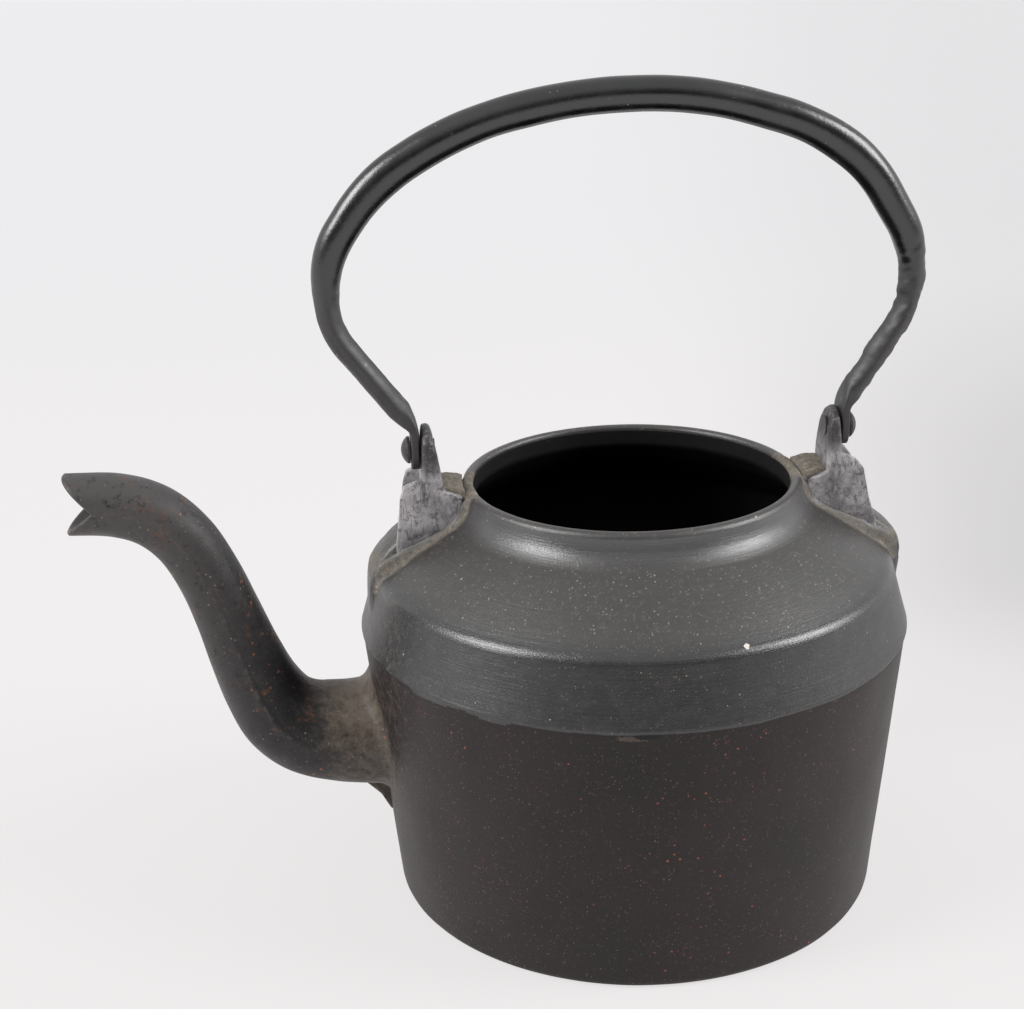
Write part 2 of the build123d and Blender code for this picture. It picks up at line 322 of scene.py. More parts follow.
def build_body():
    """The whole shell as one grid: rows run round, columns follow the outline."""
    low, cone, neck = shoulder_outline()
    shoulder = np.array(low + cone + neck + [(RIM_R, RIM_Z - RIM_DROP)])
    spout_side, rear = boss_outlines(len(shoulder), 0.0), boss_outlines(len(shoulder), 3.0)
    plain_low = lower_outline() + seam_outline()
    plain_high = rim_outline()[1:] + inner_outline()
    angles = body_angles()
    rings = [plain_ring(radius, z, angles) for radius, z in plain_low]
    behind = np.cos(angles) > 0
    for i, (radius, z) in enumerate(shoulder):
        core = np.where(behind[:, None], rear[0][i], spout_side[0][i])
        skirt = np.where(behind[:, None], rear[1][i], spout_side[1][i])
        across = np.abs(np.sin(angles)) * core[:, 0]
        # sharp under the cheeks, well rounded outside them
        domed = np.cbrt(np.clip(1 - (across / 11.4) ** 3, 0, 1))
        open_end = smooth(95.0, 99.0, core[:, 0])
        in_core = (1 - smooth(8.6, 10.4, across)) * (1 - open_end) + domed * open_end
        in_skirt = 1 - smooth(11.6, 15.6, across)
        r = radius + (skirt[:, 0] - radius) * in_skirt
        h = z + (skirt[:, 1] - z) * in_skirt
        r = r + (core[:, 0] - r) * in_core
        h = h + (core[:, 1] - h) * in_core
        on_top = in_core * smooth(176.0, 180.0, h)
        h = h + on_top * (np.sin(angles) * core[:, 0] * 0.09 - 1.2 * behind)
        rings.append(np.column_stack([r * np.cos(angles), r * np.sin(angles), h]))
    rings += [plain_ring(radius, z, angles) for radius, z in plain_high]
    obj = grid_object("kettle_shell", [weathered(ring) for ring in rings])
    bore_x = wall_radius(SPOUT_ROOT_Z)
    cut(obj, rod("spout_bore", (-bore_x - 12, 0, SPOUT_ROOT_Z), (-bore_x + 14, 0, SPOUT_ROOT_Z),
                 SPOUT_BORE_R, 64))
    return obj


def plain_ring(radius, z, angles):
    """One ring of the turned form, with the seam's wavy edge."""
    r = np.full(len(angles), float(radius))
    h = np.full(len(angles), float(z))
    if SEAM_Z - 1.7 < z < SEAM_Z + 1.2 and radius > MOUTH_R + 30 and radius > wall_radius(z) - 1:
        wave = np.array([wander(math.cos(a), math.sin(a), 0, 0.16) for a in angles])
        chatter = np.array([wander(math.cos(a), math.sin(a), 3, 0.03) for a in angles])
        h += SEAM_WAVE * wave + SEAM_CHATTER * chatter
    return np.column_stack([r * np.cos(angles), r * np.sin(angles), h])


def weathered(ring):
    """The small unevenness of an iron casting, outside only, and rough on the bosses' tops."""
    out = ring.copy()
    for k, (x, y, z) in enumerate(ring):
        r = math.hypot(x, y)
        if r < MOUTH_R + 0.5 or z < 0.5:
            continue
        push = 0.24 * wander(x, y, z, 45.0) + 0.10 * wander(x, y, z, 14.0, 5.0)
        if abs(y) < 17 and z > 140:
            near = 1 - float(smooth(13.0, 17.0, abs(y)))
            push += near * (0.30 * wander(x, y, z, 7.0, 3.0) + 0.16 * wander(x, y, z, 2.6, 9.0))
            out[k, 2] += near * float(smooth(176.0, 180.0, z)) * 0.5 * wander(x, y, z, 3.2, 6.0)
        out[k, 0] += x / r * push
        out[k, 1] += y / r * push
    return out


# ======================================================================================
# ears
# ======================================================================================
def prism(name, outline, y0, y1):
    """A slab with this outline in x and z between two values of y."""
    near = [(x, y0, z) for x, z in outline]
    far = [(x, y1, z) for x, z in outline]
    n = len(outline)
    faces = [tuple(range(n)), tuple(range(2 * n - 1, n - 1, -1))]
    faces += [(i, (i + 1) % n, n + (i + 1) % n, n + i) for i in range(n)]
    return make_object(name, near + far, faces)


def rounded_box(x0, x1, half_y, corner, z):
    """A ring round a rectangle with rounded corners."""
    corner = min(corner, half_y * 0.95, (x1 - x0) * 0.48)
    ring = []
    for cx, cy, start in ((x1 - corner, half_y - corner, 0), (x0 + corner, half_y - corner, 90),
                          (x0 + corner, corner - half_y, 180), (x1 - corner, corner - half_y, 270)):
        for k in range(7):
            a = math.radians(start + 15 * k)
            ring.append((cx + corner * math.cos(a), cy + corner * math.sin(a), z))
    return ring


def joined(parts):
    """Moves the meshes of all parts into the first one."""
    mesh = bmesh.new()
    for part in parts:
        mesh.from_mesh(part.data)
    mesh.to_mesh(parts[0].data)
    mesh.free()
    for part in parts[1:]:
        bpy.data.objects.remove(part)
    return parts[0]


def build_ear(name, side, top_radius, foot, cheek, far_inset):
    """A finger for the rivet on two cheeks that run down into the boss. side is -1 at the spout.
    top_radius rounds the finger, foot is how much thicker it is at its foot than at the rivet, cheek
    is the cheeks' outline above the boss, and far_inset narrows the far cheek."""
    pivot_thick = PIVOT_THICK + foot * 0.5
    rings = []
    for z, half_y, share in ((164.5, 11.3, 1.0), (172.0, 11.3, 1.0), (181.0, 11.4, 1.0), (187.0, 11.3, 0.7),
                             (190.0, 10.9, 0.5), (PIVOT_Z, top_radius, 0.0)):
        half_y = min(half_y, top_radius + (PIVOT_Z - z) * 0.3)
        rings.append(rounded_box(EAR_FACE_X - pivot_thick - foot * share, EAR_FACE_X, half_y, FINGER_EDGE, z))
    for turn in range(8, 89, 8):
        a = math.radians(turn)
        thick = pivot_thick - 2.4 * math.sin(a)
        rings.append(rounded_box(EAR_FACE_X - thick, EAR_FACE_X - 0.5 * math.sin(a), top_radius * math.cos(a),
                                 FINGER_EDGE, PIVOT_Z + top_radius * math.sin(a)))
    rings = [np.array([(side * x, y, z) for x, y, z in ring]) for ring in rings]
    parts = [grid_object(name, rings)]
    buried = [(99.5, 154.5), (95.0, 156.0), (88.0, 159.6), (80.5, 163.4), (75.6, 167.6), (72.0, 173.6)]
    for hand in (-1, 1):
        inset = far_inset if hand > 0 else 0.0
        outline = [(side * (x - (inset if x > 90 else 0.0)), z) for x, z in cheek + buried]
        parts.append(prism("cheek", outline, *(hand * y for y in CHEEK_Y)))
    ear = joined(parts)
    apply_modifier(ear, "REMESH", mode="VOXEL", voxel_size=EAR_VOXEL * MM)
    apply_modifier(ear, "SMOOTH", factor=0.5, iterations=5)
    for vertex in ear.data.vertices:
        x, y, z = vertex.co / MM
        rough = 0.13 * wander(x, y, z, 5.0, 4.0) + 0.05 * wander(x, y, z, 1.8, 1.0)
        if z > PIVOT_Z + 4:
            rough += 0.35 * wander(x, y, z, 2.6, 2.0)
        vertex.co += vertex.normal * rough * MM
    cut(ear, rod("rivet_hole", (side * 70, 0, PIVOT_Z), (side * 95, 0, PIVOT_Z), SHANK_R))
    shade_smooth(ear.data)
    return ear


# ======================================================================================
# spout
# ======================================================================================
SPOUT_WALL = 3.2
NOTCH_DEPTH = 12.5       # how far the fish-tail is cut back at the sides
PARTING_RIDGE = 0.6
LIP_THINNING = 0.9
SEAT_REACH = 17.0        # length of the root that takes up the body's curve
# centre line and outer radius: x, z, radius
SPOUT_LINE = [(-108.0, 71.0, 23.6), (-113.0, 71.0, 23.3), (-127.0, 71.8, 22.0), (-141.0, 75.0, 20.6),
              (-151.5, 82.5, 18.9), (-159.0, 95.0, 16.8), (-165.0, 111.0, 15.2), (-170.7, 129.2, 13.9),
              (-177.0, 147.0, 13.3), (-185.5, 163.5, 13.1), (-197.0, 175.0, 13.2), (-212.0, 180.8, 13.1),
              (-232.5, 182.4, 12.7)]


def spout_frames(count):
    """Points, tangents, normals and radii along the spout's centre line."""
    line = through(SPOUT_LINE, count)
    tangent = directions(line[:, :2])
    normal = np.column_stack([-tangent[:, 1], tangent[:, 0]])
    return line[:, :2], tangent, normal, line[:, 2]


def build_spout():
    """Outer skin to the lips, over the edge and back down the inside."""
    steps, around = 150, 96
    centre, tangent, normal, radius = spout_frames(steps)
    turn = np.linspace(0, 2 * math.pi, around, endpoint=False)
    side, rise = np.cos(turn), np.sin(turn)
    from_tip = lengths(centre[::-1])[::-1]
    # the fish-tail: at the sides the tube ends short of its upper and lower lips
    notch = NOTCH_DEPTH * (1 - np.abs(rise)) ** 1.1 + 1.5 * (rise < 0) * np.abs(rise)
    outer, inner = [], []
    for i in range(steps):
        for wall, rows in ((0.0, outer), (SPOUT_WALL, inner)):
            r = radius[i] - wall
            # the lips thin out towards their edges
            thin = LIP_THINNING * (1 - smooth(0.0, 9.0, from_tip[i]))
            r = r + (thin if wall else 0.0)
            u, v = r * side, r * -rise
            # a parting line stands a little proud along both sides
            ridge = 0.0 if wall else PARTING_RIDGE * np.exp(-(rise / 0.055) ** 2)
            u = u * (1 + ridge / max(r, 1.0))
            # every ring is pushed back so that the last one lies on the fish-tail
            back = notch * (1 - smooth(0.0, 26.0, from_tip[i]))
            x = centre[i, 0] + normal[i, 0] * v - tangent[i, 0] * back
            z = centre[i, 1] + normal[i, 1] * v - tangent[i, 1] * back
            ring = np.column_stack([x, u, z])
            if centre[0, 0] - centre[i, 0] <= SEAT_REACH:
                ring = seat_on_wall(ring, i, turn, centre, wall)
            rows.append(ring)
    lip = [(outer[-1] * (1 - t) + inner[-1] * t) + np.array([-math.sin(t * math.pi) * 0.7, 0, 0])
           for t in (0.2, 0.4, 0.6, 0.8)]
    rows = [cast_skin(r) for r in outer + lip + inner[::-1]]
    obj = grid_object("spout_casting", rows + [rows[0]], closed_ends=False)
    merge_doubles(obj)
    gusset = prism("gusset", [(-98.0, 54.0), (-124.0, 52.5), (-117.0, 46.5), (-111.5, 41.0), (-107.6, 33.5),
                              (-98.0, 33.0)], -4.0, 4.0)
    apply_modifier(gusset, "REMESH", mode="VOXEL", voxel_size=0.6 * MM)
    apply_modifier(gusset, "SMOOTH", factor=0.5, iterations=8)
    shade_smooth(gusset.data)
    return joined([obj, gusset])


def seat_on_wall(ring, i, turn, centre, wall):
    """Near the root the rings take up the body's curve, and the outside flares into it."""
    depth = centre[0, 0] - centre[i, 0]
    out = ring.copy()
    share = 1 - smooth(0.0, SEAT_REACH, depth)
    for k in range(len(ring)):
        y, z = ring[k, 1], ring[k, 2]
        if not wall:
            below = max(0.0, math.sin(turn[k]))
            fillet = 5.5 + 6.5 * below ** 3
            away = max(0.0, fillet - depth * 1.05)
            grow = fillet - math.sqrt(max(0.0, fillet ** 2 - away ** 2)) if away > 0 else 0.0
            length = math.hypot(y, z - SPOUT_ROOT_Z)
            y += y / length * grow
            z += (z - SPOUT_ROOT_Z) / length * grow
        surface = -math.sqrt(max(1.0, wall_radius(z) ** 2 - y ** 2))
        seated = surface + 1.2 - depth
        out[k] = (out[k, 0] + (seated - out[k, 0]) * share, y, z)
    return out


def cast_skin(ring):
    """Unevenness of the spout's skin."""
    out = ring.copy()
    for k, (x, y, z) in enumerate(ring):
        out[k, 1] += 0.16 * wander(x, y, z, 11.0, 2.0)
        out[k, 2] += 0.16 * wander(x, y, z, 13.0, 8.0)
    return out


def merge_doubles(obj):
    """Joins the points where the first ring meets the last."""
    mesh = bmesh.new()
    mesh.from_mesh(obj.data)
    bmesh.ops.remove_doubles(mesh, verts=mesh.verts, dist=1e-6)
    bmesh.ops.recalc_face_normals(mesh, faces=mesh.faces)
    mesh.to_mesh(obj.data)
    mesh.free()


# ======================================================================================
# bail handle
# ======================================================================================
GRIP_R = 6.9
LEG_R = 5.0
TAB_THICK = 3.8
TAB_R = 7.0
TAB_GAP = 0.3
TAB_X = EAR_FACE_X + TAB_GAP + TAB_THICK / 2
EYE_DROP = 8.5           # from the pivot to the tab's lower end
LEG_HALF_WIDTH = 5.9
LEG_PINCH = 0.34
SEAM_GROOVE = 0.65
SEAM_LIP = 0.25
# corners of the bent tube from the spout-side foot to the rear foot, each inner one with its bend
BAIL_CORNERS = [(-TAB_X, 188.5), (-TAB_X, 206.6), (-121.7, 249.5), (-121.7, 278.1), (-102.2, 306.0),
                (-65.7, 327.5), (-20.1, 336.7), (27.2, 336.7), (72.9, 322.5), (96.8, 306.0), (116.6, 272.7),
                (116.6, 247.5), (TAB_X, 206.4), (TAB_X, 188.5)]
BAIL_BENDS = [9.0, 34.0, 41.0, 73.0, 137.0, 200.0, 159.0, 90.0, 64.0, 44.0, 38.0, 9.0]


def build_handle():
    """The rolled bail: round in the grip with its seam underneath, pinched in the legs, flat at the eyes."""
    path = rounded_path(BAIL_CORNERS, BAIL_BENDS, 1.0)
    tangent = directions(path)
    inward = np.column_stack([tangent[:, 1], -tangent[:, 0]])
    turn = np.linspace(0, 2 * math.pi, 72, endpoint=False)
    rows = []
    for (x, z), n in zip(path, inward):
        grip = smooth(240.0, 292.0, z) if x > 0 else smooth(252.0, 288.0, z)
        rolled = smooth(266.0, 304.0, z)
        leg = smooth(204.0, 214.0, z) * (1 - smooth(262.0, 276.0, z))
        tab = 1 - smooth(205.5, 215.0, z)
        half_n = LEG_R * 0.98 + (GRIP_R - LEG_R * 0.98) * grip
        half_n = half_n + 0.35 * smooth(290, 306, z) * (1 - smooth(318, 330, z))
        half_y = LEG_HALF_WIDTH + (GRIP_R - LEG_HALF_WIDTH) * grip
        # powers under 2 pinch the section into ridges at its front and back
        power = 2.0 - LEG_PINCH * leg
        half_n += (TAB_THICK / 2 - half_n) * tab
        half_y += (TAB_R - half_y) * tab
        power += (6.0 - power) * tab
        if z < PIVOT_Z:
            half_y = math.sqrt(max(0.04, TAB_R ** 2 - ((PIVOT_Z - z) * TAB_R / EYE_DROP) ** 2))
        c, s = np.cos(turn), np.sin(turn)
        y = np.sign(c) * np.abs(c) ** (2 / power) * half_y
        d = np.sign(s) * np.abs(s) ** (2 / power) * half_n
        # the rolled seam: a groove on the inner side of the grip, one lip a little proud
        seam = rolled * np.exp(-((turn - math.pi / 2) / 0.10) ** 2)
        lip = rolled * np.exp(-((turn - math.pi / 2 - 0.24) / 0.13) ** 2)
        d = d - SEAM_GROOVE * seam + SEAM_LIP * lip
        rugged = (1 - tab) * (1 - smooth(262.0, 280.0, z)) * (0.9 if x > 0 else 0.18)
        dent = 0.18 * wander(x, 0, z, 16.0, 3.0) * (1 - tab)
        bumps = np.array([wander(x + 3 * cc, 3 * ss, z, 5.5, 2.0)
                          + 0.5 * wander(x, 3 * cc, z + 3 * ss, 2.4, 4.0) for cc, ss in zip(c, s)])
        d = d * (1 + dent / 6) + np.sign(s) * np.abs(s) * bumps * 0.85 * rugged
        y = y + c * bumps * 0.7 * rugged
        rows.append(np.column_stack([x + n[0] * d, y + 0.25 * wander(x, 0, z, 30.0, 7.0) * (1 - tab),
                                     z + n[1] * d]))
    obj = grid_object("bail_handle", rows)
    for side in (-1, 1):
        cut(obj, rod("eye", (side * (EAR_FACE_X - 4), 0, PIVOT_Z), (side * (EAR_FACE_X + 12), 0, PIVOT_Z),
                     SHANK_R))
    return obj


# ======================================================================================
# materials
# ======================================================================================
def smooth_step(tree, source, low, high, start, end):
    """Goes from start, where source is low, to end, where it is high. Both may be sockets."""
    node = tree.nodes.new("ShaderNodeMapRange")
    node.interpolation_type = "SMOOTHSTEP"
    tree.links.new(source, node.inputs["Value"])
    for key, value in (("From Min", low), ("From Max", high), ("To Min", start), ("To Max", end)):
        if isinstance(value, (int, float)):
            node.inputs[key].default_value = value
        else:
            tree.links.new(value, node.inputs[key])
    return node.outputs["Result"]


class Nodes:
    """Short calls for building one material's node tree."""

    def __init__(self, name):
        self.material = bpy.data.materials.new(name)
        self.material.use_nodes = True
        self.tree = self.material.node_tree
        self.shader = next(n for n in self.tree.nodes if n.type == "BSDF_PRINCIPLED")
        self.place = self.tree.nodes.new("ShaderNodeTexCoord").outputs["Object"]

    def link(self, source, target):
        self.tree.links.new(source, target)

    def stretched(self, x, y, z):
        node = self.tree.nodes.new("ShaderNodeMapping")
        node.inputs["Scale"].default_value = (x, y, z)
        self.link(self.place, node.inputs["Vector"])
        return node.outputs["Vector"]

    def noise(self, scale, detail=4.0, roughness=0.55, where=None, distortion=0.0):
        node = self.tree.nodes.new("ShaderNodeTexNoise")
        node.inputs["Scale"].default_value = scale
        node.inputs["Detail"].default_value = detail
        node.inputs["Roughness"].default_value = roughness
        node.inputs["Distortion"].default_value = distortion
        self.link(where or self.place, node.inputs["Vector"])
        return node.outputs["Fac"]

    def cells(self, scale):
        """Distance to the nearest cell point, and two random numbers for each cell."""
        node = self.tree.nodes.new("ShaderNodeTexVoronoi")
        node.inputs["Scale"].default_value = scale
        self.link(self.place, node.inputs["Vector"])
        split = self.tree.nodes.new("ShaderNodeSeparateColor")
        self.link(node.outputs["Color"], split.inputs["Color"])
        return node.outputs["Distance"], split.outputs["Red"], split.outputs["Green"]

    def math(self, kind, a, b=None, c=None):
        node = self.tree.nodes.new("ShaderNodeMath")
        node.operation = kind
        for socket, value in zip(node.inputs, (a, b, c)):
            if value is None:
                continue
            if isinstance(value, (int, float)):
                socket.default_value = value
            else:
                self.link(value, socket)
        return node.outputs["Value"]

    def times(self, a, b):
        return self.math("MULTIPLY", a, b)

    def ramp(self, value, low, high, start=0.0, end=1.0):
        return smooth_step(self.tree, value, low, high, start, end)

    def patchy(self, scale, low, high):
        """A value that drifts between low and high."""
        return self.ramp(self.noise(scale), 0.3, 0.7, low, high)

    def mix(self, share, a, b):
        node = self.tree.nodes.new("ShaderNodeMix")
        node.data_type = "RGBA"
        for socket, value in ((node.inputs[0], share), (node.inputs[6], a), (node.inputs[7], b)):
            if isinstance(value, (int, float)):
                socket.default_value = value
            elif isinstance(value, tuple):
                socket.default_value = (*value, 1.0)
            else:
                self.link(value, socket)
        return node.outputs[2]

    def over(self, colour, mask, amount, tint):
        """The tint laid over the colour by this amount where the mask is 1."""
        return self.mix(self.times(mask, amount), colour, tint)

    def stained(self, colour, source, low, high, amount, tint):
        """The tint laid over the colour by this amount where the source is high."""
        return self.mix(self.ramp(source, low, high, 0.0, amount), colour, tint)

    def clouded(self, scale, roughness, dark, pale):
        """Large soft patches of two colours."""
        return self.mix(self.ramp(self.noise(scale, 5.0, roughness), 0.3, 0.7), dark, pale)

    def attribute(self, name):
        node = self.tree.nodes.new("ShaderNodeAttribute")
        node.attribute_name = name
        return node.outputs["Fac"]

    def axis(self, letter):
        node = self.tree.nodes.new("ShaderNodeSeparateXYZ")
        self.link(self.place, node.inputs["Vector"])
        return node.outputs[letter]

    def bump(self, height, distance, strength=1.0, before=None):
        node = self.tree.nodes.new("ShaderNodeBump")
        node.inputs["Strength"].default_value = strength
        node.inputs["Distance"].default_value = distance
        self.link(height, node.inputs["Height"])
        if before is not None:
            self.link(before, node.inputs["Normal"])
        return node.outputs["Normal"]

    def grainy(self, scale, depth, before=None):
        """Fine grain in the surface."""
        return self.bump(self.noise(scale, 4.0, 0.7), depth, 0.9, before)

    def set(self, colour, roughness, normal=None, specular=0.5):
        self.link(colour, self.shader.inputs["Base Color"])
        self.link(roughness, self.shader.inputs["Roughness"])
        if normal is not None:
            self.link(normal, self.shader.inputs["Normal"])
        self.shader.inputs["Specular IOR Level"].default_value = specular
        return self.material


def specks(n, scale, share, size):
    """Sparse round specks: 1 in a speck, 0 elsewhere. share is the part of cells that hold one."""
    distance, chance, width = n.cells(scale)
    held = n.math("GREATER_THAN", chance, 1 - share)
    radius = n.math("MULTIPLY_ADD", width, size * 0.8, size * 0.35)
    inside = n.math("SUBTRACT", radius, distance)
    return n.times(n.ramp(inside, 0.0, size * 0.35), held)


def blot(n, x, z, wide, high):
    """A ragged ellipse on the body's -Y side, in millimetres."""
    across = n.math("MULTIPLY_ADD", n.axis("X"), 1000 / wide, -x / wide)
    up = n.math("MULTIPLY_ADD", n.axis("Z"), 1000 / high, -z / high)
    away = n.math("ADD", n.times(across, across), n.times(up, up))
    ragged = n.math("MULTIPLY_ADD", n.noise(1100.0, 3.0, 0.7), 1.8, away)
    return n.times(n.ramp(ragged, 1.45, 1.2), n.ramp(n.axis("Y"), 0.02, -0.02))


# marks on the front of the body: x, z, half width, half height
CRACK = (-13.5, SEAM_Z - 1.1, 8.5, 2.1)
CRACK_DUST = (-18.5, SEAM_Z - 1.9, 9.5, 1.7)
NICK = (25.7, CREASE_Z + 1.2, 1.55, 1.15)


def flaw(n, colour):
    """Where the seam has opened: tan dust beside a dark crack."""
    colour = n.over(colour, blot(n, *CRACK_DUST), 0.6, (0.115, 0.086, 0.066))
    return n.mix(blot(n, *CRACK), colour, (0.0015, 0.0014, 0.0014))


def grain_light(n, colour, light, amount=0.7):
    """Pale grains that catch dust, from half a millimetre up to two."""
    colour = n.stained(colour, n.noise(520.0, 4.0, 0.8), 0.56, 0.68, amount, light)
    bright = tuple(2.3 * c for c in light)
    colour = n.over(colour, specks(n, 900.0, 0.16, 0.34), amount, bright)
    return n.over(colour, specks(n, 480.0, 0.05, 0.28), amount, bright)


def dust_mask(n):
    """Where the mesh's dust value is high, broken up by noise."""
    broken = n.math("MULTIPLY_ADD", n.noise(260.0, 6.0, 0.75), 0.9, n.attribute("dust"))
    return n.ramp(broken, 0.62, 1.15)


def powdered(n, colour, rough, tan, amount=0.75):
    """Granular dust over the iron, and the roughness that goes with it."""
    powder = dust_mask(n)
    grit = n.noise(470.0, 5.0, 0.85)
    dusty = n.mix(n.ramp(grit, 0.38, 0.50, 0.8, 0.0), tan, tuple(0.3 * c for c in tan))
    dusty = n.mix(n.ramp(grit, 0.56, 0.66), dusty, tuple(2.7 * c for c in tan))
    colour = n.over(colour, powder, amount, dusty)
    return colour, n.mix(powder, rough, (0.8, 0.8, 0.8))


def uneven(n, rough, amount):
    """Roughness that drifts over a few centimetres."""
    return n.math("MULTIPLY_ADD", n.noise(35.0, 3.0), amount, n.math("ADD", rough, -0.02))


def shoulder_material():
    """Brushed and blacked iron over the seam."""
    n = Nodes("shoulder_iron")
    streak = n.noise(1.0, 6.0, 0.7, n.stretched(18.0, 18.0, 1300.0))
    mottle = n.noise(150.0, 6.0, 0.75)
    grey = n.mix(n.ramp(streak, 0.38, 0.64), (0.0060, 0.0059, 0.0064), (0.0125, 0.0121, 0.0129))
    grey = n.stained(grey, mottle, 0.42, 0.72, 0.5, (0.040, 0.037, 0.034))
    on_cone = n.ramp(n.axis("Z"), (CREASE_Z - 2.0) * MM, (CREASE_Z + 6.0) * MM)
    dusted = grain_light(n, n.mix(0.5, grey, (0.060, 0.055, 0.050)), (0.115, 0.098, 0.080), 0.85)
    grey = n.mix(on_cone, grain_light(n, grey, (0.034, 0.031, 0.028), 0.7), dusted)
    wear_and_sheen = n.attribute("wear_and_sheen")
    # paler crease and neck flare: partly polish from wear, partly a painted highlight
    grey = n.over(grey, wear_and_sheen, 0.5, (0.034, 0.033, 0.034))
    # painted highlight on the flare of the neck
    flare = n.times(wear_and_sheen, n.ramp(n.axis("Z"), 0.164, 0.171))
    grey = n.over(grey, flare, 0.7, (0.100, 0.099, 0.102))
    thick = n.ramp(n.noise(38.0, 3.0, 0.6), 0.40, 0.62, 0.25, 1.0)
    sand = n.times(specks(n, 980.0, 0.26, 0.27), thick)
    grey = n.over(grey, sand, 0.75, (0.27, 0.19, 0.12))
    grey = n.over(grey, specks(n, 600.0, 0.035, 0.22), 0.8, (0.40, 0.30, 0.20))
    grey = n.over(grey, specks(n, 330.0, 0.012, 0.15), 0.8, (0.55, 0.50, 0.42))
    rough = n.mix(wear_and_sheen, (0.34, 0.34, 0.34), (0.145, 0.145, 0.145))
    grey = n.mix(blot(n, *NICK), flaw(n, grey), (0.72, 0.68, 0.60))
    colour, rough = powdered(n, grey, rough, (0.205, 0.172, 0.130))
    rough = uneven(n, rough, 0.10)
    lines = n.bump(streak, 0.00013, 1.0)
    return n.set(colour, rough, n.grainy(1300.0, 0.00012, lines), specular=0.95)


def wall_material():
    """Brown-black iron with rust specks under the seam."""
    n = Nodes("wall_iron")
    brown = n.clouded(22.0, 0.6, (0.0090, 0.0052, 0.0055), (0.0160, 0.0090, 0.0092))
    brown = grain_light(n, brown, (0.040, 0.029, 0.027))
    rust = specks(n, 430.0, 0.20, 0.24)
    patch = n.ramp(n.noise(30.0, 3.0), 0.44, 0.62, 0.10, 1.0)
    bloom = n.times(n.ramp(n.noise(330.0, 5.0, 0.8), 0.60, 0.68), patch)
    brown = n.over(brown, bloom, 0.55, (0.160, 0.052, 0.026))
    brown = n.over(brown, rust, patch, (0.26, 0.075, 0.034))
    brown = n.over(brown, specks(n, 800.0, 0.20, 0.25), 0.7, (0.20, 0.115, 0.066))
    colour, rough = powdered(n, flaw(n, brown), (0.46, 0.46, 0.46), (0.19, 0.155, 0.12))
    rough = uneven(n, rough, 0.12)
    return n.set(colour, rough, n.grainy(1400.0, 0.00010), specular=0.40)


def inside_material():
    """Sooty black inside."""
    n = Nodes("inside_iron")
    colour = n.mix(n.noise(60.0, 4.0), (0.0050, 0.0044, 0.0044), (0.0095, 0.0080, 0.0076))
    colour = n.mix(specks(n, 330.0, 0.05, 0.20), colour, (0.06, 0.015, 0.010))
    return n.set(colour, n.patchy(80.0, 0.65, 0.8), n.bump(n.noise(500.0), 0.00010, 0.8),
                 specular=0.3)


def spout_material():
    """Mottled iron with rust spots, paler at the lips and dusty at the root."""
    n = Nodes("spout_iron")
    colour = n.clouded(30.0, 0.6, (0.0100, 0.0094, 0.0098), (0.0205, 0.0185, 0.0185))
    towards_lips = n.ramp(n.axis("X"), -0.150, -0.205)
    colour = n.over(colour, towards_lips, 0.85, (0.078, 0.072, 0.071))
    colour = n.stained(colour, n.noise(170.0, 6.0, 0.8), 0.50, 0.66, 0.40, (0.066, 0.058, 0.055))
    colour = n.stained(colour, n.noise(230.0, 5.0, 0.8), 0.54, 0.64, 0.7, (0.010, 0.0085, 0.0085))
    bloom = n.times(n.ramp(n.noise(75.0, 4.0, 0.7), 0.56, 0.66), n.ramp(n.noise(420.0, 3.0), 0.42, 0.60))
    colour = n.over(colour, bloom, 0.6, (0.150, 0.060, 0.030))
    colour = n.stained(colour, n.noise(1300.0, 3.0, 0.7), 0.57, 0.80, 0.6, (0.13, 0.115, 0.10))
    rust = specks(n, 330.0, 0.22, 0.28)
    patch = n.ramp(n.noise(45.0, 2.0), 0.46, 0.60, 0.3, 1.0)
    colour = n.over(colour, rust, patch, (0.26, 0.085, 0.036))
    colour = n.over(colour, specks(n, 620.0, 0.22, 0.26), 0.75, (0.27, 0.19, 0.12))
    ridge = n.times(n.attribute("ridge"), n.ramp(n.noise(330.0, 4.0, 0.7), 0.48, 0.62))
    colour = n.over(colour, ridge, 0.5, (0.135, 0.110, 0.092))
    colour = n.over(colour, dust_mask(n), 0.7, (0.21, 0.165, 0.125))
    rough = n.patchy(60.0, 0.40, 0.56)
    return n.set(colour, rough, n.grainy(1200.0, 0.00013), specular=0.4)


def ear_material():
    """Pale scuffed casting, dark on the finger."""
    n = Nodes("ear_iron")
    colour = n.clouded(90.0, 0.65, (0.178, 0.168, 0.178), (0.520, 0.496, 0.512))
    colour = n.stained(colour, n.noise(1300.0, 3.0, 0.7), 0.55, 0.75, 0.6, (0.10, 0.09, 0.09))
    scuffs = n.noise(1.0, 5.0, 0.7, n.stretched(420.0, 420.0, 90.0), 1.2)
    colour = n.stained(colour, scuffs, 0.50, 0.66, 0.75, (0.075, 0.070, 0.072))
    colour = n.stained(colour, n.noise(260.0, 6.0, 0.8), 0.50, 0.62, 0.80, (0.065, 0.060, 0.060))
    finger = n.ramp(n.axis("Z"), 0.184, 0.196)
    colour = n.over(colour, finger, 0.92, (0.030, 0.0275, 0.0270))
    gritty = n.times(finger, n.ramp(n.noise(480.0, 4.0, 0.8), 0.54, 0.66))
    colour = n.over(colour, gritty, 0.8, (0.21, 0.19, 0.17))
    colour = n.over(colour, specks(n, 700.0, 0.12, 0.24), 0.7, (0.30, 0.23, 0.15))
    rough = n.patchy(140.0, 0.36, 0.55)
    return n.set(colour, rough, n.grainy(700.0, 0.00024))


